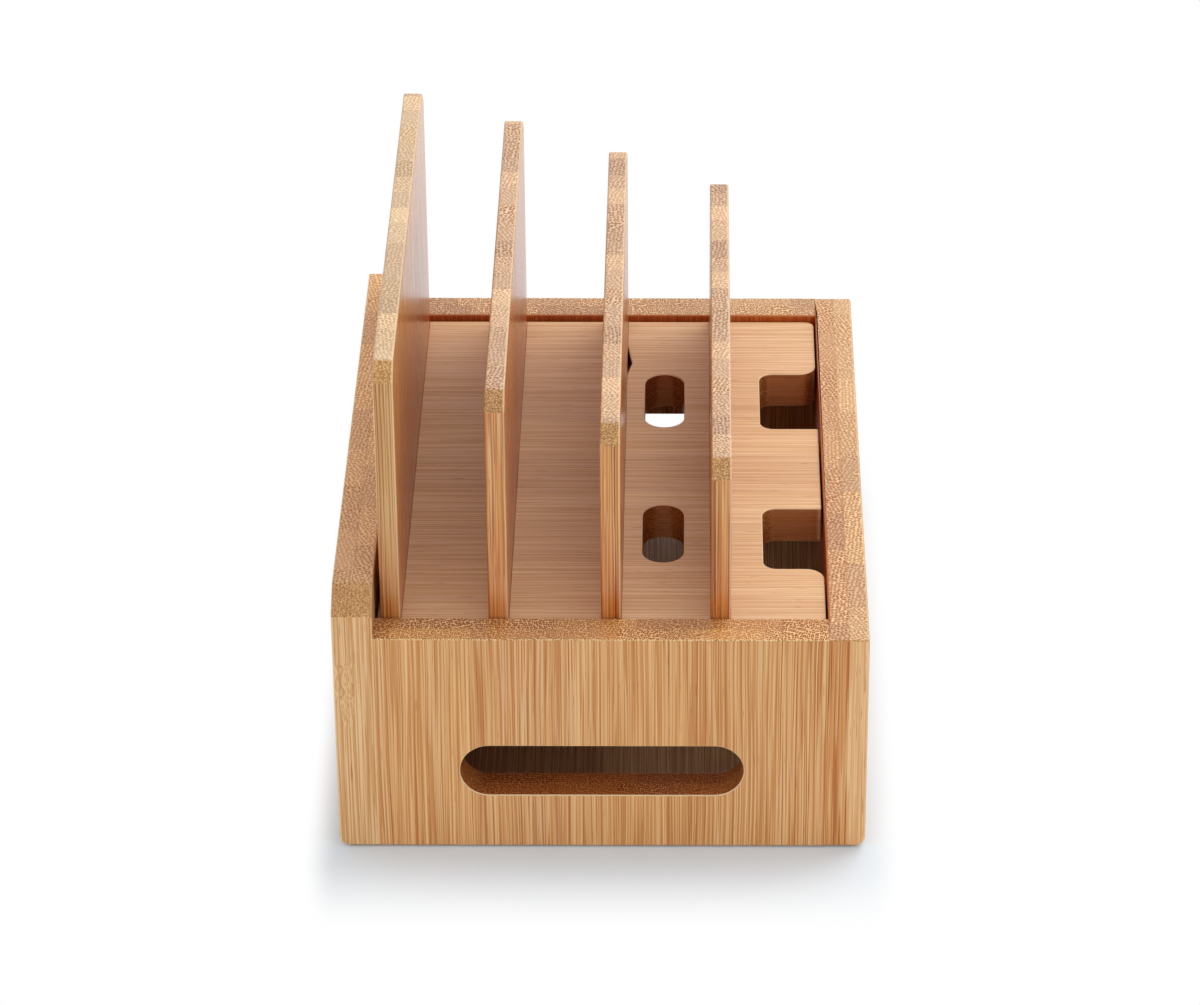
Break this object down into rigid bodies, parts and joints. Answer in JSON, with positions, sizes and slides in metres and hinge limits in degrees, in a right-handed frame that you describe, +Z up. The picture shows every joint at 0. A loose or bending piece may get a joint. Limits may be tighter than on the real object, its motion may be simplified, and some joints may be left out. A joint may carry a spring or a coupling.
{
  "type": "charging station organizer",
  "caption": "Bamboo desk box that hides a charging hub, with cable slots and a lift-off tray of upright dividers that stand phones and tablets on edge.",
  "frame": {"origin": "centre of the footprint, on the surface that the foot pads stand on", "axes": "+X along the box from its left end to its right end, +Y towards the tall back panel, +Z up; the front faces -Y"},
  "size_m": [0.228, 0.172, 0.1721],
  "materials": {
    "bamboo_outer_ply": "satin lacquered bamboo, upright grain",
    "bamboo_inner_ply": "satin lacquered bamboo, upright grain",
    "bamboo_base": "lacquered bamboo, grain along the box",
    "bamboo_cleat": "lacquered bamboo strip",
    "bamboo_tray": "satin lacquered bamboo, grain from front to back",
    "bamboo_divider": "satin lacquered bamboo, upright grain",
    "screw_zinc": "bright zinc plated",
    "dowel_beech": "plain turned beech",
    "pad_rubber": "matt moulded rubber"
  },
  "bodies": {
    "box": {"back_panel_outer": "bamboo_outer_ply", "back_panel_inner": "bamboo_inner_ply", "front_panel_outer": "bamboo_outer_ply", "front_panel_inner": "bamboo_inner_ply", "left_panel_outer": "bamboo_outer_ply", "left_panel_inner": "bamboo_inner_ply", "right_panel_outer": "bamboo_outer_ply", "right_panel_inner": "bamboo_inner_ply", "base_panel": "bamboo_base", "left_cleat": "bamboo_cleat", "right_cleat": "bamboo_cleat", "cleat_screws": "screw_zinc", "corner_dowels": "dowel_beech", "foot_pads": "pad_rubber"},
    "tray": {"tray_top_ply": "bamboo_tray", "tray_bottom_ply": "bamboo_tray", "divider_1": "bamboo_divider", "divider_2": "bamboo_divider", "divider_3": "bamboo_divider", "divider_4": "bamboo_divider", "divider_screws": "screw_zinc"}
  },
  "joints": [
    {"name": "tray_lift", "type": "slide", "parent": "box", "child": "tray", "axis": [0, 0, 1], "range_m": [0, 0.06]}
  ]
}
